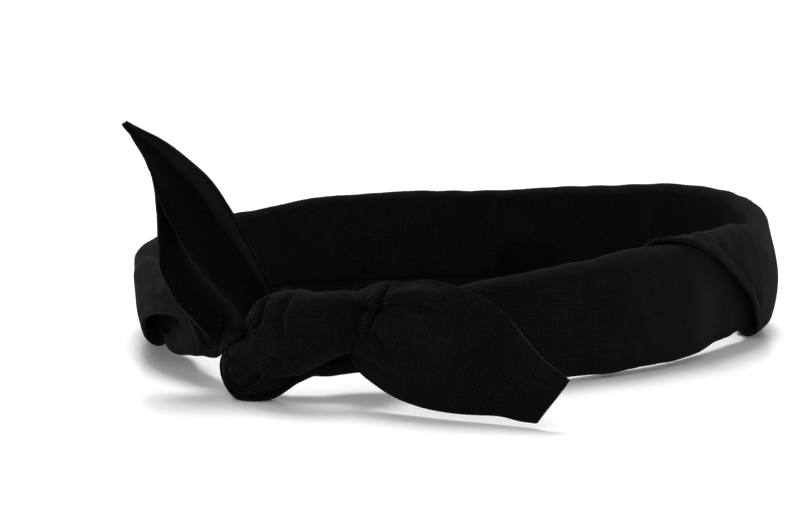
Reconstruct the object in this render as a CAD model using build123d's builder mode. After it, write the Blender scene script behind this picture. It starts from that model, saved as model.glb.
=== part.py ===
"""Knotted headband: a rolled strip of black linen closed by a half knot with two wired tails.

Frame: millimetres, +Z up. The headband stands on its lower edge on Z = 0, with the knot at the
front (-Y), and the origin is under the middle of its outline.
"""
import os

from build123d import *

# ---------------------------------------------------------------- driving dimensions
KNOT = Vector(4.5, -89.2, 0)          # middle of the knot in plan

# plan of the loop: a chain of tangent arcs (radius, turn in degrees), from the right of the knot
# round the back to the left of the knot
LOOP_START = KNOT + Vector(16, 12.5, 0)
LOOP_HEADING = 35
LOOP_ARCS = [(155, 27), (216, 15), (53, 85), (77, 44), (200, 29), (49, 71), (173, 28)]
LOOP_END_HEADING = LOOP_HEADING + sum(turn for _, turn in LOOP_ARCS)

CLOTH = 1.0                            # one layer of cloth with its folded-in seam allowance
WIRE_DIA = 1.0
WIRE_GAP = 1.2                         # room between face and lining, where the wire lies
CORE_GAP = 2.0                         # hollow in the middle of the roll
ROLL_HALF = CORE_GAP / 2 + 2 * CLOTH + WIRE_GAP
ROLL_CORNER = 2.0                      # rounding of the roll's folds
BAND_HEIGHT = 31.0                     # height of the roll at the origin
BAND_RISE_X = 0.054                    # the roll is taller on the right and at the back:
BAND_RISE_Y = 0.036                    # rise per millimetre of X and of Y
BAND_TALL = 60.0                       # blank height before the top is cut to its slope
EDGE_SLIT_Z = 9.0                      # where the strip's two long edges meet, inside the loop
EDGE_SLIT = 0.6
SEAM_DROP = 0.9                        # height of the row of thread along each long edge

STITCH_COUNT = 9                       # hand stitches that close the turning opening
STITCH_STEP = 1.6                      # degrees of arc between stitches
STITCH_SIZE = (0.5, 1.6, 1.6)
STITCH_LIFT = 0.05
STITCH_ARC = 3                         # the arc of the loop, at the back, that the stitches sit on

PASS_RADIUS = 42.0                     # plan radius of the strand that crosses the front
PASS_TURN = 53
PASS_THICK = 13.0
PASS_CORNER = 4.0
PASS_TOP = 30.0
PASS_LOW_LEFT = 5.5
PASS_LOW_RISE = 0.22                   # its lower edge climbs to the right
SHOULDER_SLOPE = 24.6                  # degrees, its top slopes down to the left shoulder
UNDER_THICK = 9.0
UNDER_CORNER = 2.5
UNDER_TOP = 27.0
UNDER_BOTTOM = 4.0
UNDER_TURN = 59
KNOT_CLEAR = 0.3

FOLD_SIZE = (16.0, 14.0, 5.0)          # the fold that shows under the left of the knot
FOLD_OFFSET = Vector(-3.5, -4.5, 0)

TAIL_CLOTH = 1.0
TAIL_GAP = 1.6
TAIL_THICK = 2 * TAIL_CLOTH + TAIL_GAP
SEAM_OUTER = 0.94                      # the thread's outer and inner line, as parts of the tail's size
SEAM_INNER = 0.89
CAP_DIA = TAIL_GAP
CAP_LENGTH = 4.0
CAP_ROUND = 0.2

# upright tail: its base line lies along the knot's sloping shoulder
UPRIGHT_PIVOT = KNOT + Vector(-17.5, -4.5, 22.5)
UPRIGHT_BASE = [(-12.5, 1.8), (13.0, 1.8)]
UPRIGHT_RIGHT = [(11.2, 12.0), (8.0, 27.0), (0.5, 42.0)]
UPRIGHT_TIP = [(-10.5, 57.5), (-12.6, 57.5)]
UPRIGHT_LEFT = [(-10.8, 41.0), (-14.5, 28.0), (-17.8, 14.0)]
UPRIGHT_WIRE = [(0.0, 3.0), (-2.0, 24.0), (-7.0, 42.0)]

# low tail: it leaves the right of the knot and ends in a slanting cut
LOW_PIVOT = KNOT + Vector(27.0, -1.0, 20.0)
LOW_NECK = 5.0
LOW_TOP = [(8.0, 11.3), (17.0, 12.4), (27.0, 9.6)]
LOW_CUT = [(50.0, -8.6), (43.5, -18.8)]
LOW_BELOW = [(22.0, -18.0), (8.0, -15.5)]
LOW_WIRE = [(1.0, 0.0), (20.0, -1.0), (38.0, -8.0)]


# ---------------------------------------------------------------- planes and paths
def top_plane(drop):
    """The sloping plane of the roll's upper edge, lowered by drop."""
    return Plane(
        origin=(0, 0, BAND_HEIGHT - drop),
        x_dir=(1, 0, BAND_RISE_X),
        z_dir=(-BAND_RISE_X, -BAND_RISE_Y, 1),
    )


def loop_chain(offset):
    """The loop's plan, moved outwards by offset; used inside a BuildLine."""
    heading = LOOP_HEADING
    out = Vector(1, 0).rotate(Axis.Z, heading - 90)
    start = LOOP_START + out * offset
    chain = []
    for radius, turn in LOOP_ARCS:
        tangent = Vector(1, 0).rotate(Axis.Z, heading)
        arc = JernArc(start=start, tangent=tangent, radius=radius + offset, arc_size=turn)
        chain.append(arc)
        start = arc @ 1
        heading += turn
    return chain


def strip_sketch(outer, inner):
    """Plan of a wall of the roll, between two offsets from the loop's middle line."""
    with BuildSketch() as plan:
        with BuildLine():
            outside = loop_chain(outer)
            inside = loop_chain(inner)
            Line(outside[0] @ 0, inside[0] @ 0)
            Line(outside[-1] @ 1, inside[-1] @ 1)
        make_face()
    return plan.sketch


def roll_solid(outer, inner, bottom, drop, corner=0.0):
    """A wall or a filled roll that follows the loop and stops at the sloping top."""
    with BuildPart() as roll:
        with BuildSketch(Plane.XY.offset(bottom)):
            add(strip_sketch(outer, inner))
        extrude(amount=BAND_TALL - bottom)
        split(bisect_by=top_plane(drop), keep=Keep.BOTTOM)
        if corner:
            flat = roll.faces().sort_by(Axis.Z)
            rims = flat[0].edges() + flat[-1].edges()
            fillet(rims.filter_by(GeomType.LINE, reverse=True), corner)
    return roll.part


with BuildLine() as loop_line:
    loop_chain(0)
LOOP_MIDDLE = loop_line.edges()
PASS_START = LOOP_MIDDLE[-1] @ 1
PASS_CENTRE = PASS_START + Vector(0, PASS_RADIUS).rotate(Axis.Z, LOOP_END_HEADING)


# ---------------------------------------------------------------- the rolled band
edge_slit = roll_solid(-CORE_GAP / 2, -ROLL_HALF - 1, EDGE_SLIT_Z, 0)
edge_slit = split(edge_slit, bisect_by=Plane.XY.offset(EDGE_SLIT_Z + EDGE_SLIT), keep=Keep.BOTTOM)

lining_out = ROLL_HALF - CLOTH - WIRE_GAP
lining_low = CLOTH + WIRE_GAP
face_skin = roll_solid(ROLL_HALF, -ROLL_HALF, 0, 0, ROLL_CORNER)
face_hollow = roll_solid(ROLL_HALF - CLOTH, CLOTH - ROLL_HALF, CLOTH, CLOTH)
lining_skin = roll_solid(lining_out, -lining_out, lining_low, lining_low)
lining_hollow = roll_solid(lining_out - CLOTH, CLOTH - lining_out, lining_low + CLOTH, lining_low + CLOTH)

with BuildPart() as band_face:
    add(face_skin)
    add(face_hollow, mode=Mode.SUBTRACT)
    add(edge_slit, mode=Mode.SUBTRACT)
band_face.part.label = "band_face"

with BuildPart() as band_lining:
    add(lining_skin)
    add(lining_hollow, mode=Mode.SUBTRACT)
    add(edge_slit, mode=Mode.SUBTRACT)
band_lining.part.label = "band_lining"

with BuildPart() as band_wire:
    with BuildLine() as wire_path:
        loop_chain(lining_out + WIRE_GAP / 2)
    wire_start = Plane(origin=wire_path.wire() @ 0, z_dir=wire_path.wire() % 0)
    with BuildSketch(wire_start):
        Circle(WIRE_DIA / 2)
    sweep(path=wire_path.wire())
band_wire.part.position = (0, 0, BAND_HEIGHT / 2)
band_wire.part.label = "band_wire"


def edge_seam(bottom):
    """The row of thread that joins face and lining beside the slit."""
    seam = roll_solid(-lining_out, CLOTH - ROLL_HALF, bottom, 0)
    return split(seam, bisect_by=Plane.XY.offset(bottom + SEAM_DROP), keep=Keep.BOTTOM)


with BuildPart() as band_seam_upper:
    add(edge_seam(EDGE_SLIT_Z + EDGE_SLIT))
band_seam_upper.part.label = "band_seam_upper"

with BuildPart() as band_seam_lower:
    add(edge_seam(EDGE_SLIT_Z - SEAM_DROP))
band_seam_lower.part.label = "band_seam_lower"

back_arc = LOOP_MIDDLE[STITCH_ARC]
stitch_reach = ROLL_HALF + STITCH_SIZE[0] / 2 + STITCH_LIFT
with BuildPart() as turning_gap_stitches:
    for stitch in range(STITCH_COUNT):
        along = 0.5 + (stitch - (STITCH_COUNT - 1) / 2) * STITCH_STEP / LOOP_ARCS[STITCH_ARC][1]
        spot = back_arc @ along
        inward = (back_arc % along).rotate(Axis.Z, 90)
        place = Plane(
            origin=spot + inward * stitch_reach + Vector(0, 0, EDGE_SLIT_Z + EDGE_SLIT / 2),
            x_dir=inward,
            z_dir=(0, 0, 1),
        )
        with Locations(place):
            Box(*STITCH_SIZE)
turning_gap_stitches.part.label = "turning_gap_stitches"


# ---------------------------------------------------------------- the knot
def pass_block(mid_radius, thick, turn, bottom, top, corner):
    """A strand that crosses the knot on an arc about PASS_CENTRE."""
    half = thick / 2
    tangent = Vector(1, 0).rotate(Axis.Z, LOOP_END_HEADING)
    with BuildPart() as block:
        with BuildSketch(Plane.XY.offset(bottom)):
            with BuildLine():
                ends = []
                for radius in (mid_radius + half, mid_radius - half):
                    begin = PASS_CENTRE - Vector(0, radius).rotate(Axis.Z, LOOP_END_HEADING)
                    ends.append(JernArc(start=begin, tangent=tangent, radius=radius, arc_size=turn))
                Line(ends[0] @ 0, ends[1] @ 0)
                Line(ends[0] @ 1, ends[1] @ 1)
            make_face()
        extrude(amount=top - bottom)
        fillet(block.edges().filter_by(Axis.Z), corner)
    return block.part


pass_blank = pass_block(PASS_RADIUS, PASS_THICK, PASS_TURN, PASS_LOW_LEFT, PASS_TOP, PASS_CORNER)
shoulder_dir = Vector(1, 0, 0).rotate(Axis.Y, -SHOULDER_SLOPE)
shoulder_up = Vector(0, 0, 1).rotate(Axis.Y, -SHOULDER_SLOPE)

with BuildPart() as knot_front_pass:
    add(pass_blank)
    split(
        bisect_by=Plane(
            origin=PASS_START + Vector(0, 0, PASS_LOW_LEFT),
            x_dir=(1, 0, PASS_LOW_RISE),
            z_dir=(-PASS_LOW_RISE, 0, 1),
        ),
        keep=Keep.TOP,
    )
    split(
        bisect_by=Plane(origin=UPRIGHT_PIVOT - shoulder_up * 1.5, x_dir=shoulder_dir, z_dir=shoulder_up),
        keep=Keep.BOTTOM,
    )
knot_front_pass.part.label = "knot_front_pass"

under_radius = PASS_RADIUS - PASS_THICK / 2 - KNOT_CLEAR - UNDER_THICK / 2
with BuildPart() as knot_under_pass:
    add(pass_block(under_radius, UNDER_THICK, UNDER_TURN, UNDER_BOTTOM, UNDER_TOP, UNDER_CORNER))
    fillet(knot_under_pass.faces().sort_by(Axis.Z)[-1].edges(), 1.5)
knot_under_pass.part.label = "knot_under_pass"

with BuildPart() as knot_bottom_fold:
    with BuildSketch(Plane(origin=KNOT + FOLD_OFFSET)):
        RectangleRounded(FOLD_SIZE[0], FOLD_SIZE[1], 5.0)
    extrude(amount=FOLD_SIZE[2])
    fillet(knot_bottom_fold.faces().sort_by(Axis.Z)[-1].edges(), 1.5)
knot_bottom_fold.part.label = "knot_bottom_fold"


# ---------------------------------------------------------------- the tails
def leaf_face(outline):
    """The closed outline of a tail: each entry is a list of points that one curve goes through."""
    with BuildSketch() as leaf:
        with BuildLine():
            for run in outline:
                if len(run) == 2:
                    Line(*run)
                else:
                    Spline(*run)
        make_face()
    return leaf.sketch


def leaf_layer(leaf, plane, start, thick):
    """One layer of a tail, start to start + thick behind its front face."""
    with BuildPart() as layer:
        with BuildSketch(plane.offset(TAIL_THICK / 2 - start - thick)):
            add(leaf)
        extrude(amount=thick)
    return layer.part


def leaf_seam(leaf, plane):
    """The row of thread round a tail, between its two layers."""
    middle = leaf.face().center()
    centred = leaf.moved(Location(-middle))
    with BuildPart() as seam:
        with BuildSketch(plane.offset(-TAIL_GAP / 2)):
            with Locations(middle):
                add(scale(centred, by=SEAM_OUTER, mode=Mode.PRIVATE))
                add(scale(centred, by=SEAM_INNER, mode=Mode.PRIVATE), mode=Mode.SUBTRACT)
        extrude(amount=TAIL_GAP)
    return seam.part


def tail_wire(plane, route):
    """The wire in a tail, one straight run into a gentle bend and another run."""
    with BuildPart() as wire:
        with BuildLine(plane) as path:
            FilletPolyline(*route, radius=30)
        with BuildSketch(Plane(origin=path.wire() @ 0, z_dir=path.wire() % 0)):
            Circle(WIRE_DIA / 2)
        sweep(path=path.wire())
    return wire.part


def wire_cap(plane, route):
    """The soft cap pushed over the wire's end."""
    last = plane.from_local_coords(Vector(*route[-1]))
    before = plane.from_local_coords(Vector(*route[-2]))
    along = (last - before).normalized()
    with BuildPart() as cap:
        with BuildSketch(Plane(origin=last - along * (CAP_LENGTH / 2), z_dir=along)):
            Circle(CAP_DIA / 2)
        extrude(amount=CAP_LENGTH)
        with BuildSketch(Plane(origin=last - along * (CAP_LENGTH / 2), z_dir=along)):
            Circle(WIRE_DIA / 2)
        extrude(amount=CAP_LENGTH / 2, mode=Mode.SUBTRACT)
        fillet(cap.edges().filter_by(GeomType.CIRCLE).group_by(SortBy.LENGTH)[-1], CAP_ROUND)
    return cap.part


upright_plane = Plane(origin=UPRIGHT_PIVOT, x_dir=shoulder_dir, z_dir=(0, -1, 0))
upright_leaf = leaf_face([
    UPRIGHT_BASE,
    [UPRIGHT_BASE[1], *UPRIGHT_RIGHT, UPRIGHT_TIP[0]],
    UPRIGHT_TIP,
    [UPRIGHT_TIP[1], *UPRIGHT_LEFT, UPRIGHT_BASE[0]],
])
low_plane = Plane(origin=LOW_PIVOT, x_dir=(1, 0, 0), z_dir=(0, -1, 0))
neck_top = (0.0, LOW_NECK)
neck_low = (0.0, -LOW_NECK)
low_leaf = leaf_face([
    [neck_low, (-LOW_NECK, 0.0), neck_top],
    [neck_top, *LOW_TOP, LOW_CUT[0]],
    LOW_CUT,
    [LOW_CUT[1], *LOW_BELOW, neck_low],
])

tails = {
    "upright_tail": (upright_leaf, upright_plane, UPRIGHT_WIRE),
    "low_tail": (low_leaf, low_plane, LOW_WIRE),
}
tail_parts = []
for tail, (leaf, plane, route) in tails.items():
    pieces = {
        "face": leaf_layer(leaf, plane, 0, TAIL_CLOTH),
        "lining": leaf_layer(leaf, plane, TAIL_THICK - TAIL_CLOTH, TAIL_CLOTH),
        "seam": leaf_seam(leaf, plane),
        "wire": tail_wire(plane, route),
        "wire_cap": wire_cap(plane, route),
    }
    for name, piece in pieces.items():
        piece.label = f"{tail}_{name}"
        tail_parts.append(piece)


# ---------------------------------------------------------------- write the files
band_parts = [
    band_face.part,
    band_lining.part,
    band_wire.part,
    band_seam_upper.part,
    band_seam_lower.part,
    turning_gap_stitches.part,
    knot_front_pass.part,
    knot_under_pass.part,
    knot_bottom_fold.part,
]
os.makedirs("parts", exist_ok=True)
for piece in band_parts + tail_parts:
    export_step(piece, f"parts/{piece.label}.step")
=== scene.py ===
"""Knotted black linen headband: a rolled strip, a half knot and two wired tails, on a white table.

Lengths are in millimetres in the design functions and become metres when a mesh is made.
The frame is the CAD model's: +Z up, the knot at the front (-Y), the table at Z = 0.
"""

import math

import bmesh
import bpy
import numpy as np
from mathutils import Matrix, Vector


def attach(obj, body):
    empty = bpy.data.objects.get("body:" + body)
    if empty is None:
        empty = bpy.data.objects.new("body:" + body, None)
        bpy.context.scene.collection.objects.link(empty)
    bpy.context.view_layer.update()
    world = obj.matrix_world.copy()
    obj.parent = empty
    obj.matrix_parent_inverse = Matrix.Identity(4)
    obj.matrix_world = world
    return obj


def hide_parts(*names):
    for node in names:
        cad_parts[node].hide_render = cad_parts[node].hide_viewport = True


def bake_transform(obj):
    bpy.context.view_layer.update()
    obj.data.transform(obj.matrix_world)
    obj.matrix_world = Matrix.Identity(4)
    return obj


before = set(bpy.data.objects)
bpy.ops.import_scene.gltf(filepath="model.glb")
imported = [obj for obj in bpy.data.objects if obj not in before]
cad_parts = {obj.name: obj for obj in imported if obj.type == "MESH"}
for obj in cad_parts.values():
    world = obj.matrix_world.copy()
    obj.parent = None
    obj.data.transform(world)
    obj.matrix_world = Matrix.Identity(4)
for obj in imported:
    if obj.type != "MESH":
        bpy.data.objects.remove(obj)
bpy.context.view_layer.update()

MM = 0.001
TAU = 2 * math.pi

# ------------------------------------------------------------------ sizes
KNOT = np.array([4.5, -89.2])
LOOP_START = KNOT + [16.0, 12.5]
LOOP_HEADING = 35.0
LOOP_ARCS = [(155, 27), (216, 15), (53, 85), (77, 44), (200, 29), (49, 71), (173, 28)]
LOOP_LENGTH = sum(radius * math.radians(turn) for radius, turn in LOOP_ARCS)

STRIP_WIDTH = 89.0        # the sewn strip, laid flat
CLOTH = 1.15              # its two layers together
RIM_HEIGHT = 31.0         # the roll's upper rim over the origin, and its rise with x and y
RIM_RISE = (0.054, 0.036)

# how the roll changes along the loop: (distance from the right of the knot, value)
RIM_SWELL = [
    (0, 0), (60, 0), (110, 0.6), (150, -0.8), (180, 1.6), (210, 4.4), (262, 3.6),
    (300, 6.0), (340, 7.8), (380, 4.8), (410, 3.0), (440, 1.6), (514, 0),
]
END_TAPER = [
    (-11, 0.36), (-4, 0.55), (6, 0.74), (28, 0.93), (55, 1), (455, 1), (485, 0.9), (502, 0.72), (515, 0.42),
]
END_LIFT = [(-11, 9), (-2, 6), (10, 2.5), (25, 0), (474, 0), (494, 2.2), (506, 5), (515, 9)]
FOLD_RADIUS = [
    (-11, 3.2), (0, 4.2), (30, 3.6), (110, 3.8), (150, 4.6),
    (400, 4.0), (440, 5.2), (475, 6.0), (498, 5), (515, 3),
]
# where the strip's outer edge lies: 0 is the top fold, 1 the bottom fold, above 1 the inside
OUTER_EDGE = [
    (0, -0.45), (74, -0.4), (91, -0.02), (103, 0.13), (113, 0.27), (122, 0.43),
    (131, 0.6), (140, 0.84), (148, 1.1), (175, 1.2), (400, 1.2), (432, 1.14),
    (444, 1.06), (453, 0.93), (463, 0.68), (473, 0.48), (490, 0.38), (514, 0.36),
]
TURN_GAP = [
    (0, 1.9), (60, 1.3), (98, 1.6), (111, 3.2), (126, 4.4), (146, 3.4), (165, 1.9),
    (410, 1.9), (445, 3.0), (480, 3.0), (514, 2.6),
]
WALL_BOW = [
    (0, 0), (60, 0.8), (110, 2.6), (160, 3.4), (205, 1.2), (240, 1.0), (400, 1.4), (430, 2.2), (514, 0),
]
WALL_TILT = [(0, 0), (20, -0.08), (90, -0.06), (115, 0), (395, 0), (430, 0.17), (465, 0.17), (492, 0)]
WALL_INSET = [(0, 0), (98, 0), (130, 4.2), (165, 4.2), (200, 0), (514, 0)]

ARCH_AT = 271.0           # where along the loop the inner wall has a dark hollow
ARCH_TOP = 20.0
ARCH_HALF_WIDTH = 11.5
ARCH_DEPTH = 5.8
ARCH_LIP = 1.2
SEAM_IN = 4.0             # the row of stitches, in from the strip's edge
STITCH_PITCH = 2.7
STITCH_LENGTH = 1.9
STITCH_RADIUS = 0.13
STITCH_SIDES = 6
STITCH_RISE = CLOTH / 2 + 0.02

STRAND_CLOTH = 0.8        # the cloth pressed together in the knot
TAIL_CLOTH = 1.3
TAIL_SEAMS = (0.035, 0.965)
WIRE_RADIUS = 0.42
TAIL_WIRE_RADIUS = 0.3
CAP_RADII = [0.4, 0.5, 0.5, 0.5, 0.5, 0.5, 0.5, 0.4, 0.2]

UPRIGHT_PIVOT = np.array([-13.0, -93.7, 22.5])
SHOULDER_SLOPE = math.radians(24.6)
LOW_PIVOT = np.array([31.5, -90.2, 20.0])


# ------------------------------------------------------------------ small maths
def smooth(points, count):
    """A smooth curve through points, as count samples spaced by chord length."""
    points = np.array(points, float)
    chord = np.linalg.norm(np.diff(points, axis=0), axis=1)
    knot = np.concatenate([[0], np.cumsum(chord)])
    slope = np.gradient(points, knot, axis=0)
    at = np.linspace(0, knot[-1], count)
    left = np.clip(np.searchsorted(knot, at, side="right") - 1, 0, len(knot) - 2)
    span = (knot[left + 1] - knot[left])[:, None]
    t = ((at - knot[left])[:, None]) / span
    return (
        (2 * t**3 - 3 * t**2 + 1) * points[left]
        + (t**3 - 2 * t**2 + t) * span * slope[left]
        + (3 * t**2 - 2 * t**3) * points[left + 1]
        + (t**3 - t**2) * span * slope[left + 1]
    )


def track(at, stations, blur):
    """A value that changes along at, through stations (place, value), rounded over blur."""
    place, value = np.array(stations, float).T
    reach = np.linspace(-2, 2, 17)
    weight = np.exp(-(reach**2))
    total = sum(w * np.interp(at + r * blur, place, value) for r, w in zip(reach, weight))
    return total / weight.sum()


def bump(at, middle, reach):
    return np.exp(-(((at - middle) / reach) ** 2))


def rise(x):
    """A soft step from 0 to 1."""
    return 1 / (1 + np.exp(-np.clip(x, -40, 40)))


def ripple(u, v, wavelength, seed, lean=0.0, spread=1.2, waves=9):
    """Soft uneven folds: plane waves whose crests run mostly across u, turned by lean."""
    draw = np.random.default_rng(seed)
    total = 0.0
    for _ in range(waves):
        angle = lean + draw.normal() * spread
        size = wavelength * draw.uniform(0.7, 1.5)
        phase = draw.uniform(0, TAU)
        total = total + np.cos(TAU * (u * math.cos(angle) + v * math.sin(angle)) / size + phase)
    return total / math.sqrt(waves)


# ------------------------------------------------------------------ the loop's plan
def loop_plan():
    """Points, headings and distances along the middle line of the roll, with its bends eased."""
    step = 1.0
    at = np.arange(0, LOOP_LENGTH + step, step)
    ends = np.cumsum([radius * math.radians(turn) for radius, turn in LOOP_ARCS])
    arc = np.clip(np.searchsorted(ends, at, side="right"), 0, len(LOOP_ARCS) - 1)
    bend = np.array([1 / radius for radius, _ in LOOP_ARCS])

    def walk(curvature):
        heading = math.radians(LOOP_HEADING) + np.concatenate([[0], np.cumsum(curvature[:-1]) * step])
        ahead = np.stack([np.cos(heading), np.sin(heading)], 1) * step
        place = np.concatenate([[[0, 0]], np.cumsum(ahead[:-1], axis=0)]) + LOOP_START
        return place, heading

    sharp, _ = walk(bend[arc])
    reach = np.arange(-30, 31)
    weight = np.exp(-((reach / 14.0) ** 2))
    padded = np.pad(bend[arc], 30, mode="edge")
    eased = np.convolve(padded, weight / weight.sum(), mode="valid")
    place, heading = walk(eased)
    drift = (sharp[-1] - place[-1]) * (at / at[-1])[:, None]
    return at, place + drift, heading


PLAN_AT, PLAN_PLACE, PLAN_HEADING = loop_plan()


def on_loop(at):
    """Plan point and outward direction at a distance along the loop."""
    place = np.stack([np.interp(at, PLAN_AT, PLAN_PLACE[:, k]) for k in (0, 1)], 1)
    heading = np.interp(at, PLAN_AT, PLAN_HEADING)
    out = np.stack([np.sin(heading), -np.cos(heading)], 1)
    beyond = at - np.clip(at, 0, LOOP_LENGTH)
    ahead = np.stack([np.cos(heading), np.sin(heading)], 1)
    return place + ahead * beyond[:, None], out


# ------------------------------------------------------------------ rolled strips
def stadium(p, height, radius):
    """A flattened ring: place and outward normal at distance p from its top, down the outside."""
    wall = height - 2 * radius
    quarter = math.pi * radius / 2
    around = 4 * quarter + 2 * wall
    q = np.mod(p, around)
    corner = [quarter, quarter + wall, 3 * quarter + wall, 3 * quarter + 2 * wall]
    turn = np.where(
        q < corner[0], q / radius,
        np.where(q < corner[1], math.pi / 2,
        np.where(q < corner[2], math.pi / 2 + (q - corner[1]) / radius,
        np.where(q < corner[3], 1.5 * math.pi, 1.5 * math.pi + (q - corner[3]) / radius))))
    normal = np.stack([np.sin(turn), np.cos(turn)])
    middle = np.where(
        q < corner[0], wall / 2,
        np.where(q < corner[1], wall / 2 - (q - corner[0]),
        np.where(q < corner[2], -wall / 2,
        np.where(q < corner[3], -wall / 2 + (q - corner[2]), wall / 2))))
    return radius * normal[0], middle + radius * normal[1], normal, around


def rolled_strip(centre, side, up, height, radius, first, gap, width, across, lift, sway=None):
    """A strip wound round a flattened core. Rows run along the strip and columns across it, from
    the outer edge at distance first down the outside, inwards."""
    w = np.linspace(0, width, across)
    grid = np.zeros((len(centre), across, 3))
    uv = np.zeros((len(centre), across, 2))
    along = np.concatenate([[0], np.cumsum(np.linalg.norm(np.diff(centre, axis=0), axis=1))])
    for i in range(len(centre)):
        out, high, normal, around = stadium(first[i] - w, height[i], radius[i])
        inward = -gap[i] * w / around + lift[i]
        out = out + normal[0] * inward
        high = high + normal[1] * inward
        if sway is not None:
            out = out + sway(i, high, height[i])
        grid[i] = centre[i] + out[:, None] * side[i] + high[:, None] * up[i]
        uv[i, :, 0] = along[i]
        uv[i, :, 1] = w
    return grid, uv


def path_frames(points, count, lean):
    """Centre, sideways and upward directions along a smooth path."""
    centre = smooth(points, count)
    ahead = np.gradient(centre, axis=0)
    ahead /= np.linalg.norm(ahead, axis=1)[:, None]
    side = np.cross(ahead, [0, 0, 1.0])
    side /= np.linalg.norm(side, axis=1)[:, None]
    up = np.cross(side, ahead)
    lean = np.radians(lean)[:, None]
    leant_side = side * np.cos(lean) + up * np.sin(lean)
    leant_up = up * np.cos(lean) - side * np.sin(lean)
    return centre, leant_side, leant_up


# ------------------------------------------------------------------ meshes
def new_object(name, shown):
    """An object in the scene that shows a mesh, a lamp or a camera."""
    piece = bpy.data.objects.new(name, shown)
    bpy.context.scene.collection.objects.link(piece)
    return piece


def shade_smooth(piece):
    for polygon in piece.data.polygons:
        polygon.use_smooth = True


def grid_mesh(name, grid, uv, thick):
    """A sheet from a grid of points in millimetres, with a weave map in metres."""
    rows, cols = grid.shape[:2]
    mesh = bpy.data.meshes.new(name)
    index = np.arange(rows * cols).reshape(rows, cols)
    faces = np.stack([index[:-1, :-1], index[1:, :-1], index[1:, 1:], index[:-1, 1:]], -1).reshape(-1, 4)
    mesh.from_pydata((grid.reshape(-1, 3) * MM).tolist(), [], faces.tolist())
    mesh.update()
    layer = mesh.uv_layers.new(name="weave")
    flat = uv.reshape(-1, 2)[faces.ravel()] * MM
    layer.data.foreach_set("uv", flat.astype(np.float32).ravel())
    piece = new_object(name, mesh)
    solid = piece.modifiers.new("cloth", "SOLIDIFY")
    solid.thickness = thick * MM
    solid.offset = 0.0
    solid.use_even_offset = False
    bake_modifiers(piece)
    shade_smooth(piece)
    return piece


def bake_modifiers(piece):
    """The piece's mesh becomes what its modifiers make of it."""
    bpy.context.view_layer.update()
    graph = bpy.context.evaluated_depsgraph_get()
    shown = piece.evaluated_get(graph)
    done = bpy.data.meshes.new_from_object(shown, preserve_all_data_layers=True, depsgraph=graph)
    piece.modifiers.clear()
    old = piece.data
    piece.data = done
    bpy.data.meshes.remove(old)


def tube_mesh(name, centre, radius, sides=8):
    """A round bar along points in millimetres, closed at both ends."""
    centre = np.array(centre, float)
    ahead = np.gradient(centre, axis=0)
    ahead /= np.linalg.norm(ahead, axis=1)[:, None]
    hint = np.array([0.13, 0.2, 1.0])
    side = np.cross(ahead, hint)
    side /= np.linalg.norm(side, axis=1)[:, None]
    up = np.cross(side, ahead)
    radius = np.broadcast_to(radius, (len(centre),))
    angle = np.linspace(0, TAU, sides, endpoint=False)
    outward = np.cos(angle)[:, None] * side[:, None] + np.sin(angle)[:, None] * up[:, None]
    ring = centre[:, None] + radius[:, None, None] * outward
    mesh = bpy.data.meshes.new(name)
    shape = bmesh.new()
    rows = [[shape.verts.new(point * MM) for point in row] for row in ring]
    for low, high in zip(rows[:-1], rows[1:]):
        for k in range(sides):
            shape.faces.new([low[k], low[(k + 1) % sides], high[(k + 1) % sides], high[k]])
    shape.faces.new(rows[0][::-1])
    shape.faces.new(rows[-1])
    bmesh.ops.recalc_face_normals(shape, faces=shape.faces)
    shape.to_mesh(mesh)
    shape.free()
    piece = new_object(name, mesh)
    shade_smooth(piece)
    return piece


def joined(name, pieces):
    """Several pieces as one mesh."""
    shape = bmesh.new()
    for piece in pieces:
        shape.from_mesh(piece.data)
        bpy.data.objects.remove(piece)
    mesh = bpy.data.meshes.new(name)
    shape.to_mesh(mesh)
    shape.free()
    whole = new_object(name, mesh)
    shade_smooth(whole)
    return whole


def sample_grid(grid, row, col):
    """Point and surface normal of a grid at fractional row and column."""
    row = float(np.clip(row, 0, grid.shape[0] - 1.001))
    col = float(np.clip(col, 0, grid.shape[1] - 1.001))
    i, j = int(row), int(col)
    a, b = row - i, col - j
    point = (
        grid[i, j] * (1 - a) * (1 - b) + grid[i + 1, j] * a * (1 - b)
        + grid[i, j + 1] * (1 - a) * b + grid[i + 1, j + 1] * a * b
    )
    normal = np.cross(grid[i + 1, j] - grid[i, j], grid[i, j + 1] - grid[i, j])
    return point, normal / (np.linalg.norm(normal) + 1e-9)


def stitch_row(name, grid, col, rise, rows=None):
    """Short stitches along the grid's rows, at column col, standing rise above the middle surface."""
    first, last = rows or (0, grid.shape[0] - 1)
    fine = np.linspace(first, last, 1500)
    line = np.array([sample_grid(grid, r, col)[0] for r in fine])
    along = np.concatenate([[0], np.cumsum(np.linalg.norm(np.diff(line, axis=0), axis=1))])
    stitches = []
    for start in np.arange(1.0, along[-1] - STITCH_LENGTH - 1.0, STITCH_PITCH):
        spot = []
        for step in np.linspace(0, 1, 5):
            r = np.interp(start + step * STITCH_LENGTH, along, fine)
            point, normal = sample_grid(grid, r, col)
            spot.append(point + normal * rise * (0.55 + 0.45 * math.sin(math.pi * step)))
        size = STITCH_RADIUS * np.array([0.6, 0.95, 1.0, 0.95, 0.6])
        stitches.append(tube_mesh("stitch", spot, size, STITCH_SIDES))
    return joined(name, stitches)


# ------------------------------------------------------------------ materials
def node(tree, kind, **settings):
    made = tree.nodes.new(kind)
    for key, value in settings.items():
        setattr(made, key, value)
    return made


def value_math(tree, operation, first, second=None, third=None):
    made = node(tree, "ShaderNodeMath", operation=operation)
    for socket, value in zip(made.inputs, (first, second, third)):
        if value is None:
            continue
        if isinstance(value, (int, float)):
            socket.default_value = value
        else:
            tree.links.new(value, socket)
    return made.outputs[0]


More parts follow.
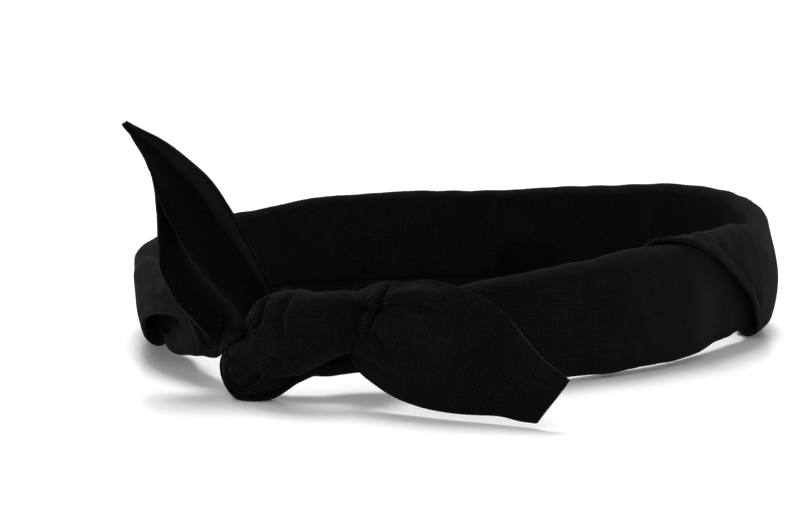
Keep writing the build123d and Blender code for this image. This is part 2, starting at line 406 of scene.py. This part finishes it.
WEAVE_PITCH = 0.0004      # metres between threads
SHEEN = 0.04


def linen(name, dark, light):
    """Matt black plain-weave linen: a thread grid, slubs, faint mottling and a soft nap."""
    material = bpy.data.materials.new(name)
    material.use_nodes = True
    tree = material.node_tree
    tree.nodes.clear()
    out = node(tree, "ShaderNodeOutputMaterial")
    shader = node(tree, "ShaderNodeBsdfPrincipled")
    tree.links.new(shader.outputs[0], out.inputs[0])
    weave_map = node(tree, "ShaderNodeUVMap", uv_map="weave")
    wobble = node(tree, "ShaderNodeTexNoise")
    wobble.inputs["Scale"].default_value = 420
    wobble.inputs["Detail"].default_value = 2
    tree.links.new(weave_map.outputs[0], wobble.inputs["Vector"])
    shifted = node(tree, "ShaderNodeVectorMath", operation="MULTIPLY_ADD")
    tree.links.new(wobble.outputs["Color"], shifted.inputs[0])
    shifted.inputs[1].default_value = (0.00022, 0.00022, 0)
    tree.links.new(weave_map.outputs[0], shifted.inputs[2])
    parts = node(tree, "ShaderNodeSeparateXYZ")
    tree.links.new(shifted.outputs[0], parts.inputs[0])
    wave = math.pi / WEAVE_PITCH
    warp = value_math(tree, "SINE", value_math(tree, "MULTIPLY", parts.outputs[0], wave))
    weft = value_math(tree, "SINE", value_math(tree, "MULTIPLY", parts.outputs[1], wave * 0.94))
    cross = value_math(tree, "MULTIPLY", warp, weft)
    warp_size = value_math(tree, "ABSOLUTE", warp)
    weft_size = value_math(tree, "ABSOLUTE", weft)
    threads = value_math(tree, "ADD", warp_size, weft_size)
    height = value_math(tree, "MULTIPLY_ADD", cross, 0.7, value_math(tree, "MULTIPLY", threads, 0.35))

    stretched = []
    for scale in ((110, 2600, 1), (2600, 110, 1)):
        mapping = node(tree, "ShaderNodeMapping")
        mapping.inputs["Scale"].default_value = scale
        tree.links.new(weave_map.outputs[0], mapping.inputs["Vector"])
        slub = node(tree, "ShaderNodeTexNoise")
        slub.inputs["Scale"].default_value = 1.0
        slub.inputs["Detail"].default_value = 3
        tree.links.new(mapping.outputs[0], slub.inputs["Vector"])
        stretched.append(slub.outputs["Fac"])
    slubs = value_math(tree, "ADD", stretched[0], stretched[1])
    cloud = node(tree, "ShaderNodeTexNoise")
    cloud.inputs["Scale"].default_value = 55
    cloud.inputs["Detail"].default_value = 4
    tree.links.new(weave_map.outputs[0], cloud.inputs["Vector"])

    tone = value_math(tree, "MULTIPLY_ADD", height, 0.45, value_math(tree, "MULTIPLY", slubs, 0.55))
    tone = value_math(tree, "SUBTRACT", tone, 0.4)
    tone = value_math(tree, "MULTIPLY_ADD", cloud.outputs["Fac"], 0.35, tone)
    ramp = node(tree, "ShaderNodeValToRGB")
    ramp.color_ramp.elements[0].position = 0.28
    ramp.color_ramp.elements[0].color = (*dark, 1)
    ramp.color_ramp.elements[1].position = 0.92
    ramp.color_ramp.elements[1].color = (*light, 1)
    tree.links.new(tone, ramp.inputs[0])
    tree.links.new(ramp.outputs[0], shader.inputs["Base Color"])

    rough = value_math(tree, "MULTIPLY_ADD", cloud.outputs["Fac"], 0.15, 0.78)
    tree.links.new(rough, shader.inputs["Roughness"])
    shader.inputs["Specular IOR Level"].default_value = 0.04
    shader.inputs["Sheen Weight"].default_value = SHEEN
    shader.inputs["Sheen Roughness"].default_value = 0.45
    shader.inputs["Sheen Tint"].default_value = (0.32, 0.32, 0.34, 1)

    relief = node(tree, "ShaderNodeBump")
    relief.inputs["Strength"].default_value = 0.8
    relief.inputs["Distance"].default_value = 0.00024
    surface = value_math(tree, "MULTIPLY_ADD", slubs, 0.5, height)
    tree.links.new(surface, relief.inputs["Height"])
    tree.links.new(relief.outputs[0], shader.inputs["Normal"])
    return material


def plain(name, colour, roughness, metallic=0.0, grain=900.0, shine=0.5):
    """A smooth material with fine grain in its surface and tone."""
    material = bpy.data.materials.new(name)
    material.use_nodes = True
    tree = material.node_tree
    shader = tree.nodes["Principled BSDF"]
    place = node(tree, "ShaderNodeTexCoord")
    noise = node(tree, "ShaderNodeTexNoise")
    noise.inputs["Scale"].default_value = grain
    tree.links.new(place.outputs["Object"], noise.inputs["Vector"])
    ramp = node(tree, "ShaderNodeValToRGB")
    ramp.color_ramp.elements[0].color = (*[c * 0.75 for c in colour], 1)
    ramp.color_ramp.elements[1].color = (*colour, 1)
    tree.links.new(noise.outputs["Fac"], ramp.inputs[0])
    tree.links.new(ramp.outputs[0], shader.inputs["Base Color"])
    shader.inputs["Roughness"].default_value = roughness
    shader.inputs["Metallic"].default_value = metallic
    shader.inputs["Specular IOR Level"].default_value = shine
    relief = node(tree, "ShaderNodeBump")
    relief.inputs["Distance"].default_value = 0.00004
    tree.links.new(noise.outputs["Fac"], relief.inputs["Height"])
    tree.links.new(relief.outputs[0], shader.inputs["Normal"])
    return material


linen_black = linen("linen_black", (0.0002, 0.0002, 0.00025), (0.0064, 0.0064, 0.0068))
# a darker copy of the same black linen for the upright tail: painted shade, standing in for the shade that
# falls on that tail and in its deep fold
linen_black_painted_shade = linen("linen_black_painted_shade", (0.0001, 0.0001, 0.00012), (0.0034, 0.0034, 0.0037))
thread_black = plain("thread_black", (0.004, 0.004, 0.0045), 0.8, grain=2500, shine=0.04)
# nap fibres: the fibres are real, but their grey, lighter than the black cloth, is a painted highlight for
# the lit fuzz on the top rims
nap_grey_painted_highlight = plain("nap_grey_painted_highlight", (0.03, 0.03, 0.032), 0.9, grain=600, shine=0.1)
wire_steel = plain("wire_steel", (0.45, 0.45, 0.46), 0.35, metallic=1.0, grain=1500)
cap_black = plain("cap_black", (0.03, 0.03, 0.03), 0.5)


def finish_piece(piece, material, nodes=(), body=None):
    """Gives a piece its material, the CAD nodes that it stands for and the body that it rides."""
    piece.data.materials.clear()
    piece.data.materials.append(material)
    if nodes:
        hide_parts(*nodes)
    if body:
        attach(piece, body)


# ------------------------------------------------------------------ the rolled band
BAND_ROWS = 380
BAND_COLS = 120
band_at = np.linspace(-11.0, LOOP_LENGTH + 1.5, BAND_ROWS)


def band_grid():
    """The strip, rolled up along the whole loop, with its folds, puckers and the hollow at the back."""
    place, out = on_loop(band_at)
    rim = RIM_HEIGHT + RIM_RISE[0] * place[:, 0] + RIM_RISE[1] * place[:, 1] + track(band_at, RIM_SWELL, 8)
    ends = track(band_at, END_TAPER, 4)
    height = rim * ends - CLOTH
    floor = track(band_at, END_LIFT, 3) + CLOTH / 2
    radius = track(band_at, FOLD_RADIUS, 6)
    quarter = math.pi * radius / 2
    wall = height - 2 * radius
    first = track(band_at, OUTER_EDGE, 3.0) * (wall + 2 * quarter)
    gap = track(band_at, TURN_GAP, 5)
    w = np.linspace(0, STRIP_WIDTH, BAND_COLS)
    at, across = np.meshgrid(band_at, w, indexing="ij")
    down = first[:, None] - across
    lift = 0.55 * ripple(at, across, 62, 3, lean=0.25, spread=0.5)
    lift += 0.28 * ripple(at, across, 27, 8, lean=-0.2, spread=0.6)
    lift += 0.10 * ripple(at, across, 11, 11, spread=0.9)
    gathers = ripple(at * 0.25, down, 9.0, 5, lean=math.pi / 2, spread=0.12)
    lift += gathers * (0.9 * np.exp(-np.clip(at, 0, None) / 22) + 0.9 * np.exp(-(LOOP_LENGTH - at) / 20))
    for inset in (across, STRIP_WIDTH - across):
        puckers = ripple(at, across, 7.5, 21, spread=0.35)
        lift += -0.32 * bump(inset, SEAM_IN, 0.9) + 0.20 * puckers * bump(inset, SEAM_IN + 1.0, 3.5)
        lift += 0.25 * bump(inset, 1.2, 1.6)
    lift -= 9.0 * bump(at, 483, 21) * bump(across, 65, 9.0)
    lift += 1.0 * bump(at, 490, 18) * bump(across, 0, 13)
    bow = track(band_at, WALL_BOW, 10)
    tilt = track(band_at, WALL_TILT, 8)
    sunk = track(band_at, WALL_INSET, 8)

    def sway(i, high, tall):
        """How far the wall leans out of its plane at a height: it bows, tilts and moves in."""
        arched = np.cos(np.clip(high / tall, -0.6, 0.6) * math.pi) - 0.35
        return bow[i] * arched + tilt[i] * high - sunk[i]

    centre = np.column_stack([place, floor + height / 2])
    side = np.column_stack([out, np.zeros(len(out))])
    up = np.tile([0, 0, 1.0], (len(out), 1))
    grid, uv = rolled_strip(centre, side, up, height, radius, first, gap, STRIP_WIDTH, BAND_COLS, lift, sway)

    # the small dark hollow in the inner wall at the back
    inward = ((grid - centre[:, None]) * side[:, None]).sum(-1)
    arch_top = ARCH_TOP - 10 * ((at - ARCH_AT) / ARCH_HALF_WIDTH) ** 4
    z = grid[..., 2]
    hollow = rise((arch_top - z) / 0.7) * rise((z - 1.5) / 0.8) * rise(-inward / 0.5)
    lip = bump(z, arch_top + 1.8, 2.4) * bump(at, ARCH_AT, 14) * rise(-inward / 0.5)
    grid = grid + side[:, None] * (ARCH_DEPTH * hollow - ARCH_LIP * lip)[..., None]
    grid[..., 2] = np.maximum(grid[..., 2], CLOTH / 2 + 0.05)
    return grid, uv


band, band_uv = band_grid()
band_cloth = grid_mesh("band_cloth", band, band_uv, CLOTH)
finish_piece(band_cloth, linen_black, ["band_face", "band_lining"], "band")
seam_col = SEAM_IN / STRIP_WIDTH * (BAND_COLS - 1)


# ------------------------------------------------------------------ the knot
def strand(path, heights, radii, first, lean, rows, width, gap, seed, gather):
    """A gathered, rolled stretch of the strip that follows a path through the knot."""
    at = np.linspace(0, 1, rows)
    chord = np.linalg.norm(np.diff(np.array(path, float), axis=0), axis=1)
    stations = np.concatenate([[0], np.cumsum(chord)]) / chord.sum()
    centre, side, up = path_frames(path, rows, np.interp(at, stations, lean))
    height = track(at, list(zip(stations, heights)), 0.015)
    radius = np.minimum(track(at, list(zip(stations, radii)), 0.03), height / 2 - 0.05)
    cols = 170
    w = np.linspace(0, width, cols)
    along, across = np.meshgrid(at, w, indexing="ij")
    length = np.linalg.norm(np.diff(centre, axis=0), axis=1).sum()
    pleats = ripple(along * length * 0.16, across, 8.0, seed, lean=math.pi / 2, spread=0.16)
    lift = gather * pleats + 0.3 * ripple(along * length, across, 14, seed + 1, spread=1.0)
    gaps = np.full(rows, gap)
    grid, uv = rolled_strip(centre, side, up, height, radius, np.full(rows, first), gaps, width, cols, lift)
    grid[..., 2] = np.maximum(grid[..., 2], 0.45)
    return grid, uv


def crease(grid, route, depth, reach, steps=60, ahead=-86.0):
    """Presses a fold into a piece's front along a route in the x-z plane; negative depth raises it."""
    line = smooth([(x, 0, z) for x, z in route], steps)[:, [0, 2]]
    flat = grid[..., [0, 2]].reshape(-1, 1, 2)
    near = np.full(flat.shape[0], 1e9)
    where = np.zeros(flat.shape[0])
    for k, spot in enumerate(line):
        away = np.hypot(flat[:, 0, 0] - spot[0], flat[:, 0, 1] - spot[1])
        closer = away < near
        near = np.where(closer, away, near)
        where = np.where(closer, k / (steps - 1), where)
    fade = np.clip(np.minimum(where, 1 - where) / 0.16, 0.25, 1)
    shape = np.exp(-((near / reach) ** 2)) - 0.3 * np.exp(-(((near - 2 * reach) / reach) ** 2))
    facing = 1 / (1 + np.exp((grid[..., 1] - ahead) / 0.8))
    grid[..., 1] += (depth * fade * shape).reshape(grid.shape[:2]) * facing


# each strand's route through the knot; its heights, radii and leans are one for each point
FRONT_PATH = [
    (-17.5, -84, 14.5), (-12.3, -89.2, 12.2), (-5.5, -93.5, 10.6), (0.2, -95.3, 11.8), (3.2, -95.9, 13.8),
    (5.6, -96.2, 17.6), (10, -96.2, 19.2), (16.5, -95.0, 20.4), (22.6, -91.5, 21.8), (26, -86.0, 22.0),
    (24, -80.5, 20.0), (18, -78, 18),
]
front, front_uv = strand(
    FRONT_PATH, heights=[7, 8.5, 11.3, 14.6, 17.5, 22.5, 22.3, 19.2, 16.8, 15, 13, 11],
    radii=[3.4, 4.2, 4.8, 5.0, 5.0, 5.0, 4.9, 4.7, 4.4, 4.0, 4, 4], first=36,
    lean=[0, 3, 4, 4, 3, 2, 0, -3, -5, -4, 0, 0], rows=220, width=80, gap=1.5, seed=31, gather=0.34,
)
UNDER_PATH = [
    (20, -75, 14), (26, -79.5, 12.8), (21, -83.5, 11.6), (14.5, -85.0, 10.6), (9.0, -86.8, 10.0),
    (4.9, -90.4, 8.2), (0.8, -95.4, 5.6), (-3.8, -96.8, 5.1), (-8.2, -94.2, 7.0), (-11.0, -89.5, 10.5),
    (-10.5, -85, 14), (-7, -82, 16),
]
under, under_uv = strand(
    UNDER_PATH, heights=[16, 10.5, 9, 9.2, 8.8, 9.6, 10.8, 10.6, 9.5, 9, 9, 9],
    radii=[5, 5, 4.2, 4.3, 4.2, 4.5, 5.0, 5.0, 4.6, 4.3, 4, 4], first=20, lean=[0] * 12,
    rows=220, width=66, gap=1.3, seed=47, gather=0.36,
)

# the half knot's creases, seen from the front: (route, depth, reach)
KNOT_CREASES = [
    ([(-8, 8), (-6.5, 5.5), (-3.5, 4), (0, 5.5), (2.5, 9)], 2.3, 0.75),
    ([(-8, 6), (-6, 3.5), (-3, 3), (2, 5)], 0.8, 0.4),
    ([(5.5, 30.5), (3.5, 25.5), (2.5, 21), (-1.5, 18.5)], 1.6, 0.9),
    ([(12, 30), (10, 25.5), (9, 21), (9.5, 16.5)], 1.15, 1.2),
    ([(-13.5, 16.5), (-6, 17), (2.5, 21)], 1.3, 0.8),
    ([(-12.5, 14), (-5, 15), (1, 17.5)], 0.9, 0.6),
    ([(17.5, 30), (18.5, 27), (19.5, 23)], 0.5, 0.8),
    ([(22.5, 30.5), (23.5, 26.5), (24, 20), (23, 15)], 0.45, 0.9),
    ([(26.5, 31), (28, 26), (29, 20.5), (28, 14.5)], 1.5, 0.7),
    ([(-3.5, 11.5), (3, 13.5), (9, 12)], 0.45, 1.1),
    ([(4, 8.5), (11, 13), (19, 16)], 0.5, 1.0),
]
for route, depth, reach in KNOT_CREASES:
    crease(front, route, depth, reach)
    crease(under, route, depth, reach)
knot_front_cloth = grid_mesh("knot_front_cloth", front, front_uv, STRAND_CLOTH)
finish_piece(knot_front_cloth, linen_black, ["knot_front_pass"], "band")
knot_under_cloth = grid_mesh("knot_under_cloth", under, under_uv, STRAND_CLOTH)
finish_piece(knot_under_cloth, linen_black, ["knot_under_pass", "knot_bottom_fold"], "band")


# ------------------------------------------------------------------ the tails
def leaf_grid(first_edge, second_edge, rows, cols, depth):
    """A tail between its two edges, given in the x-z plane; depth(along, across) is its y."""
    one, two = smooth(first_edge, rows), smooth(second_edge, rows)
    at = np.linspace(0, 1, rows)
    across = np.linspace(0, 1, cols)
    along, over = np.meshgrid(at, across, indexing="ij")
    flat = one[:, None] * (1 - over[..., None]) + two[:, None] * over[..., None]
    grid = np.stack([flat[..., 0], depth(along, over), flat[..., 1]], -1)
    grid[..., 0] += 0.15 * ripple(along * 60, over * 30, 9, 77) * np.abs(2 * over - 1) ** 4
    reach = np.linalg.norm(np.diff(grid, axis=0), axis=2).mean(1).cumsum()
    spread = np.linalg.norm(np.diff(grid, axis=1), axis=2).cumsum(1)
    uv = np.zeros((rows, cols, 2))
    uv[1:, :, 0] = reach[:, None]
    uv[:, 1:, 1] = spread
    uv[..., 1] -= uv[:, -1:, 1] / 2
    return grid, uv


# the tails' edges, seen from the front, from the knot to the tip
UPRIGHT_LEFT = [
    (-14, 11), (-20.5, 16.5), (-27.5, 23), (-32, 31), (-33, 42),
    (-34, 51.5), (-38, 61), (-42, 66), (-44.5, 69),
]
UPRIGHT_RIGHT = [(-3, 18), (1.5, 27), (-3, 36), (-9.5, 47), (-16, 56), (-24, 61), (-34, 66), (-44, 69.5)]


def upright_depth(along, over):
    """A long V: a ridge low on the left, a deep valley beside it, and a flap up to the right edge."""
    ridge = np.interp(along, [0, 0.18, 0.36, 0.5, 0.62, 0.72, 1], [0.62, 0.55, 0.44, 0.32, 0.18, 0.06, 0.0])
    valley = np.interp(along, [0, 0.18, 0.36, 0.5, 0.62, 0.8, 1], [0.86, 0.84, 0.74, 0.68, 0.62, 0.55, 0.5])
    deep = np.interp(along, [0, 0.15, 0.35, 0.6, 0.85, 1], [1.2, 4.8, 6.8, 5.0, 1.8, 0.2])
    shown = np.clip((0.78 - along) / 0.2, 0, 1) * np.clip(along / 0.1, 0, 1)
    wide = np.interp(along, [0, 0.15, 0.3, 0.5, 1], [0.12, 0.13, 0.09, 0.045, 0.03])
    left = np.clip((ridge - over) / np.maximum(ridge, 0.05), 0, 1)
    y = -92.6 - 1.2 * shown
    y += 3.6 * shown * np.sin(left * math.pi) ** 0.9
    y -= 1.6 * shown * bump(over, ridge, wide)
    y += 0.85 * deep * np.exp(-np.abs((over - valley) / 0.2) ** 1.7)
    y -= 1.4 * np.clip((over - valley) / (1 - valley), 0, 1) ** 1.5 * shown
    y += 0.45 * ripple(along * 62, over * 26, 24, 91, spread=1.0)
    folds = ripple(along * 14, over * 26, 6.5, 95, lean=math.pi / 2, spread=0.15)
    y += 0.6 * folds * np.exp(-along / 0.14)
    y += 1.0 * np.exp(-along / 0.1)
    return y


upright, upright_uv = leaf_grid(UPRIGHT_LEFT, UPRIGHT_RIGHT, 150, 90, upright_depth)
upright_tail_cloth = grid_mesh("upright_tail_cloth", upright, upright_uv, TAIL_CLOTH)

LOW_UPPER = [
    (20, 25), (25.5, 29), (31, 31.5), (38, 32), (44, 33), (50.5, 32.5),
    (56.5, 31), (62.5, 28), (69, 22.5), (75.5, 16.5), (82, 12),
]
LOW_LOWER = [
    (20, 17), (24.5, 12.5), (28, 9), (33, 6), (38, 4), (45.5, 2.5),
    (54, 2), (61, 2), (66, 2), (71, 1.5), (75, 1.5),
]


def low_depth(along, over):
    """A soft swell with pleats that fan out of the neck, and one fold beside the upper edge."""
    y = -90.5 - 4.2 * np.sin(np.clip(along * 1.25, 0, 1) * math.pi) * np.sin(over * math.pi) ** 0.8
    y += (0.5 - over) * np.interp(along, [0, 0.3, 1], [2, 5, 3])
    fan = np.exp(-along / 0.17)
    folds = ripple(along * 9, over * 30, 7.0, 103, lean=math.pi / 2, spread=0.12)
    y += 1.2 * folds * fan
    line = 0.27 + 0.10 * along
    y += 1.9 * bump(over, line, 0.055) * np.exp(-(((along - 0.16) / 0.17) ** 2))
    y -= 1.3 * bump(over, line - 0.12, 0.06) * np.exp(-(((along - 0.15) / 0.16) ** 2))
    y += 0.45 * ripple(along * 62, over * 30, 22, 107, spread=1.0)
    y += 0.3 * bump(over, 0.5, 0.5)
    return y


low, low_uv = leaf_grid(LOW_UPPER, LOW_LOWER, 170, 90, low_depth)
LOW_CREASES = [
    ([(34, 31.5), (32.5, 26.5), (30.5, 21.5), (29, 17)], 1.7, 0.8),
    ([(34.5, 29), (38.5, 30), (43.5, 30.5), (50, 30)], -1.2, 0.8),
    ([(33, 26.5), (37.5, 27), (43, 27), (50, 25.5)], 1.5, 1.0),
    ([(31.5, 21.5), (33, 19), (36, 16.5)], 1.0, 0.9),
    ([(30, 13.5), (34, 11.5), (39, 9.5)], 0.6, 1.2),
    ([(31, 30), (30, 26.5), (29.5, 23.5)], -0.8, 0.8),
    ([(60, 20), (65, 14.5), (70, 9), (73, 5)], 0.7, 1.9),
    ([(40, 22), (47, 20.5), (55, 16)], -0.5, 2.4),
]
for route, depth, reach in LOW_CREASES:
    crease(low, route, depth, reach, ahead=-80.0)
low_tail_cloth = grid_mesh("low_tail_cloth", low, low_uv, TAIL_CLOTH)

hinge_up = np.array([-math.sin(SHOULDER_SLOPE), 0, math.cos(SHOULDER_SLOPE)])
TAILS = {
    "upright_tail": dict(
        # the upright tail wears the darker linen copy: painted shade
        cloth=upright_tail_cloth, look=linen_black_painted_shade, grid=upright, flat=(0.031, 0.060), spine=0.36, stop=0.78,
        start=UPRIGHT_PIVOT - hinge_up * 4, end=UPRIGHT_PIVOT + hinge_up * 8,
    ),
    "low_tail": dict(
        cloth=low_tail_cloth, look=linen_black, grid=low, flat=(0.034, 0.057), spine=0.5, stop=0.85,
        start=LOW_PIVOT - np.array([6.5, 0, 0]), end=LOW_PIVOT + np.array([7.5, 0, 0]),
    ),
}
for tail, facts in TAILS.items():
    cloth, grid = facts["cloth"], facts["grid"]
    finish_piece(cloth, facts["look"], [f"{tail}_face", f"{tail}_lining"])
    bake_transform(cloth)
    rows = grid.shape[0]
    spine = facts["spine"] * (grid.shape[1] - 1)
    route = [sample_grid(grid, r, spine)[0] for r in np.linspace(0.34, facts["stop"], 90) * (rows - 1)]
    wire = tube_mesh(f"{tail}_core", route, TAIL_WIRE_RADIUS)
    finish_piece(wire, wire_steel, [f"{tail}_wire"], tail)
    beyond = np.linspace(facts["stop"] - 0.03, facts["stop"] + 0.03, 9) * (rows - 1)
    cap_route = [sample_grid(grid, r, spine)[0] for r in beyond]
    cap = tube_mesh(f"{tail}_core_cap", cap_route, CAP_RADII, 12)
    finish_piece(cap, cap_black, [f"{tail}_wire_cap"], tail)
    seams = []
    for over in TAIL_SEAMS:
        col = over * (grid.shape[1] - 1)
        seams.append(stitch_row("seam", grid, col, 0.05, (0.3 * rows, 0.93 * rows)))
    seam = joined(f"{tail}_stitches", seams)
    finish_piece(seam, thread_black, [f"{tail}_seam"], tail)


# ------------------------------------------------------------------ the band's stitching
upper_seam = stitch_row("band_stitches_outer", band, seam_col, STITCH_RISE)
finish_piece(upper_seam, thread_black, ["band_seam_upper"], "band")
lower_seam = stitch_row("band_stitches_inner", band, BAND_COLS - 1 - seam_col, STITCH_RISE)
finish_piece(lower_seam, thread_black, ["band_seam_lower"], "band")
gap_rows = (0.52 * BAND_ROWS, 0.60 * BAND_ROWS)
gap_seam = stitch_row("turning_gap_sewing", band, seam_col * 0.35, STITCH_RISE, gap_rows)
finish_piece(gap_seam, thread_black, ["turning_gap_stitches"], "band")
wire_col = 0.5 * (BAND_COLS - 1)
wire_route = [sample_grid(band, r, wire_col)[0] for r in np.linspace(14, BAND_ROWS - 12, 300)]
band_core = tube_mesh("band_core_wire", wire_route, WIRE_RADIUS)
finish_piece(band_core, wire_steel, ["band_wire"], "band")

# ------------------------------------------------------------------ nap: short loose fibres on the rims
def nap(name, spots, seed):
    """Short bent hairs standing on a surface: spots are (point, normal, along)."""
    draw = np.random.default_rng(seed)
    shape = bmesh.new()
    for point, normal, along in spots:
        lean = normal * draw.uniform(0.5, 1.0) + along * draw.normal() * 0.8 + draw.normal(size=3) * 0.35
        lean /= np.linalg.norm(lean)
        turn = draw.normal(size=3) * 0.5
        side = np.cross(lean, draw.normal(size=3))
        side /= np.linalg.norm(side)
        reach = draw.uniform(0.5, 1.5)
        wide = draw.uniform(0.03, 0.06)
        rows = []
        for step in np.linspace(0, 1, 4):
            middle = point + lean * reach * step + turn * reach * 0.55 * step**2
            half = side * wide * (1 - 0.7 * step)
            rows.append([shape.verts.new((middle + half) * MM), shape.verts.new((middle - half) * MM)])
        for low_row, high_row in zip(rows[:-1], rows[1:]):
            shape.faces.new([low_row[0], low_row[1], high_row[1], high_row[0]])
    mesh = bpy.data.meshes.new(name)
    shape.to_mesh(mesh)
    shape.free()
    return new_object(name, mesh)


def rim_spots(grid, count, seed, rows, thick, keep):
    """Random places on the outer face of a grid that keep(point, normal, col) accepts."""
    draw = np.random.default_rng(seed)
    spots = []
    for _ in range(count * 60):
        if len(spots) == count:
            break
        r = draw.uniform(*rows)
        c = draw.uniform(0, grid.shape[1] - 2)
        point, normal = sample_grid(grid, r, c)
        along = sample_grid(grid, r + 1, c)[0] - sample_grid(grid, r, c)[0]
        for face in (normal, -normal):
            if keep(point, face, c):
                spots.append((point + face * (thick / 2 - 0.03), face, along / np.linalg.norm(along)))
                break
    return spots


def on_band_rim(point, normal, col):
    return normal[2] > 0.35 and point[2] > 22 and col < 0.62 * BAND_COLS


def on_knot_top(point, normal, col):
    return normal[2] > 0.25 and point[2] > 18 and col < 90


# fibres only on up-facing rims, where their lighter grey paints the rim highlight
band_top = rim_spots(band, 900, 5, (20, BAND_ROWS - 22), CLOTH, on_band_rim)
knot_top = rim_spots(front, 260, 6, (30, 190), STRAND_CLOTH, on_knot_top)
band_nap = nap("band_nap", band_top + knot_top, 12)
finish_piece(band_nap, nap_grey_painted_highlight, (), "band")


# ------------------------------------------------------------------ table, light and camera
FLOOR_HALF = 9.0
HORIZON = (0.3, 1.08)     # height in the surround, and its brightness there
OVERHEAD = (0.8, 0.28)
CAMERA_AZIMUTH = 28.0
CAMERA_ELEVATION = 8.5
CAMERA_DISTANCE = 0.5417
CAMERA_TARGET = (-0.0130, 0.0024, 0.0212)
LENS = 80


def table_material():
    material = bpy.data.materials.new("table_white")
    material.use_nodes = True
    shader = material.node_tree.nodes["Principled BSDF"]
    shader.inputs["Base Color"].default_value = (0.955, 0.965, 0.98, 1)
    shader.inputs["Roughness"].default_value = 0.28
    shader.inputs["Specular IOR Level"].default_value = 0.4
    return material


def add_floor():
    mesh = bpy.data.meshes.new("floor")
    half = FLOOR_HALF
    corners = [(-half, -half, 0), (half, -half, 0), (half, half, 0), (-half, half, 0)]
    mesh.from_pydata(corners, [], [(0, 1, 2, 3)])
    mesh.materials.append(table_material())
    new_object("floor", mesh)


def add_light(name, place, target, size, power):
    lamp = bpy.data.lights.new(name, "AREA")
    lamp.shape = "RECTANGLE"
    lamp.size, lamp.size_y = size
    lamp.energy = power
    light = new_object(name, lamp)
    light.location = place
    aim(light, target)


def add_sun(name, towards, strength, spread):
    lamp = bpy.data.lights.new(name, "SUN")
    lamp.energy = strength
    lamp.angle = math.radians(spread)
    light = new_object(name, lamp)
    light.location = towards
    aim(light, (0, 0, 0))


def add_sky():
    """A white surround, brightest at the horizon and dimmer overhead."""
    world = bpy.data.worlds.new("studio")
    world.use_nodes = True
    tree = world.node_tree
    place = node(tree, "ShaderNodeTexCoord")
    parts = node(tree, "ShaderNodeSeparateXYZ")
    tree.links.new(place.outputs["Generated"], parts.inputs[0])
    span = node(tree, "ShaderNodeMapRange", interpolation_type="SMOOTHSTEP")
    for socket, value in zip(span.inputs[1:5], (HORIZON[0], OVERHEAD[0], HORIZON[1], OVERHEAD[1])):
        socket.default_value = value
    tree.links.new(parts.outputs[2], span.inputs[0])
    tree.links.new(span.outputs[0], tree.nodes["Background"].inputs[1])
    tree.nodes["Background"].inputs[0].default_value = (1, 1, 1, 1)
    bpy.context.scene.world = world


def aim(thing, target):
    direction = np.array(target, float) - np.array(thing.location)
    thing.rotation_euler = Vector(direction).to_track_quat("-Z", "Y").to_euler()


def add_camera():
    azimuth = math.radians(CAMERA_AZIMUTH)
    elevation = math.radians(CAMERA_ELEVATION)
    target = np.array(CAMERA_TARGET)
    back = np.array([
        math.sin(azimuth) * math.cos(elevation),
        -math.cos(azimuth) * math.cos(elevation),
        math.sin(elevation),
    ])
    lens = bpy.data.cameras.new("camera")
    lens.lens = LENS
    lens.sensor_width = 36
    lens.clip_start = 0.01
    lens.clip_end = 60
    camera = new_object("camera", lens)
    camera.location = tuple(target + back * CAMERA_DISTANCE)
    aim(camera, target)
    bpy.context.scene.camera = camera


add_floor()
add_sky()
add_sun("window", (-0.22, 0.42, 1.2), 2.7, 26)
add_light("overhead", (0.15, -0.35, 0.9), (0, 0, 0), (0.7, 0.7), 2.4)
bpy.context.scene.view_settings.view_transform = "Standard"
bpy.context.scene.view_settings.look = "None"
add_camera()
